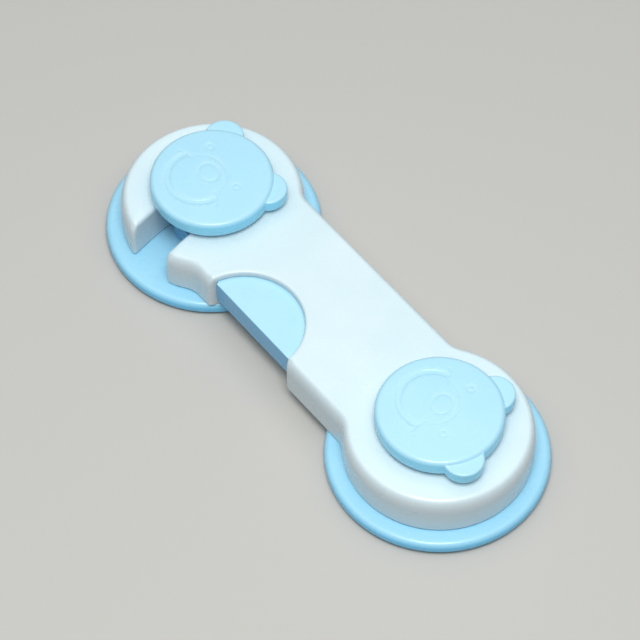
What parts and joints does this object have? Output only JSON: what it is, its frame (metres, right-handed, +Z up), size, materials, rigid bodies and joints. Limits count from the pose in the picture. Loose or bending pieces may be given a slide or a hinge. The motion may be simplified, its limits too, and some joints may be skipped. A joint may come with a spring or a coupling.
{
  "type": "cabinet safety lock",
  "caption": "Stick-on cabinet safety lock: a white swinging arm with an open hook, a push button and a spring bolt, between pale blue discs with bear-head caps.",
  "frame": {"origin": "midway between the two posts, on the plane that the foam pads stick to", "axes": "+Y from the pivot post to the catch post, +Z up out of the furniture, the button side is -X"},
  "size_m": [0.05, 0.131, 0.0199],
  "materials": {
    "arm_white": "satin moulded",
    "disc_blue": "satin moulded",
    "cap_blue": "satin moulded",
    "button_blue": "satin moulded",
    "steel": "zinc plated",
    "foam": "matt closed-cell foam"
  },
  "bodies": {
    "pivot": {"pivot_base": "disc_blue", "pivot_cap": "cap_blue", "pivot_screw": "steel", "pivot_pad": "foam"},
    "arm": {"arm_shell": "arm_white", "cover_plate": "arm_white", "cover_screws": "steel", "return_spring": "steel"},
    "catch": {"catch_base": "disc_blue", "catch_cap": "cap_blue", "catch_screw": "steel", "catch_pad": "foam"},
    "button": {"push_button": "button_blue"},
    "bolt": {"latch_bolt": "button_blue"}
  },
  "joints": [
    {"name": "arm_swing", "type": "hinge", "parent": "pivot", "child": "arm", "pos_m": [0, -0.0405, 0], "axis": [0, 0, 1], "continuous": true},
    {"name": "catch_swivel", "type": "hinge", "parent": "arm", "child": "catch", "pos_m": [0, 0.0405, 0], "axis": [0, 0, 1], "continuous": true},
    {"name": "button_press", "type": "slide", "parent": "arm", "child": "button", "axis": [1, 0, 0], "range_m": [0, 0.006], "stiffness_N_per_m": 588, "springref_m": -0.0021},
    {"name": "bolt_draw", "type": "slide", "parent": "arm", "child": "bolt", "axis": [0, -1, 0], "range_m": [0, 0.0084], "deforming": ["return_spring"]}
  ],
  "couplings": [
    {"joint": "bolt_draw", "follows": "button_press", "ratio": 1.4}
  ]
}
